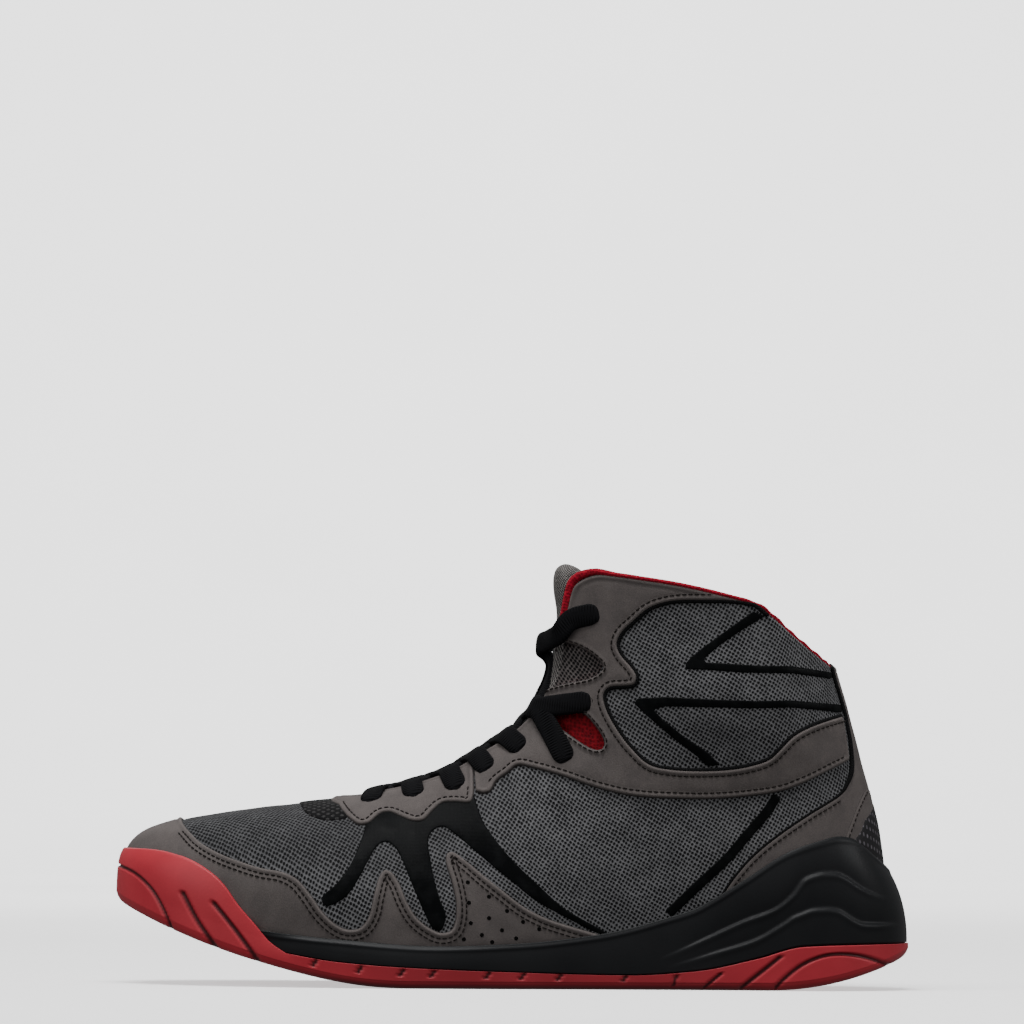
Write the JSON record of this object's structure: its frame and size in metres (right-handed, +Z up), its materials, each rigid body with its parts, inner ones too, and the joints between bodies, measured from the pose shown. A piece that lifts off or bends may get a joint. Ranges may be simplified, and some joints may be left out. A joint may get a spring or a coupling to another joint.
{
  "type": "high-top sneaker",
  "caption": "Left high-top lace-up training shoe with a hollow mesh and suede upper, padded tongue, sculpted midsole and a rubber outsole that wraps the toe",
  "frame": {"origin": "on the floor, at the centre of the overall box", "axes": "+X towards the heel and -X towards the toe, -Y the outer side of the foot, +Y the inner side, +Z up"},
  "size_m": [0.2948, 0.1046, 0.158],
  "materials": {
    "outsole": "matte moulded rubber",
    "midsole": "satin moulded foam",
    "insole": "knit over foam",
    "upper": "open mesh with suede overlays",
    "tongue": "padded mesh",
    "lace": "flat woven cord"
  },
  "bodies": {
    "root": {"outsole": "outsole", "midsole": "midsole", "insole": "insole", "upper": "upper", "tongue": "tongue", "lace_bar": "lace", "lace_cross_1": "lace", "lace_cross_2": "lace", "lace_cross_3": "lace", "lace_cross_4": "lace", "lace_cross_5": "lace", "lace_cross_6": "lace", "lace_cross_7": "lace"}
  },
  "joints": []
}
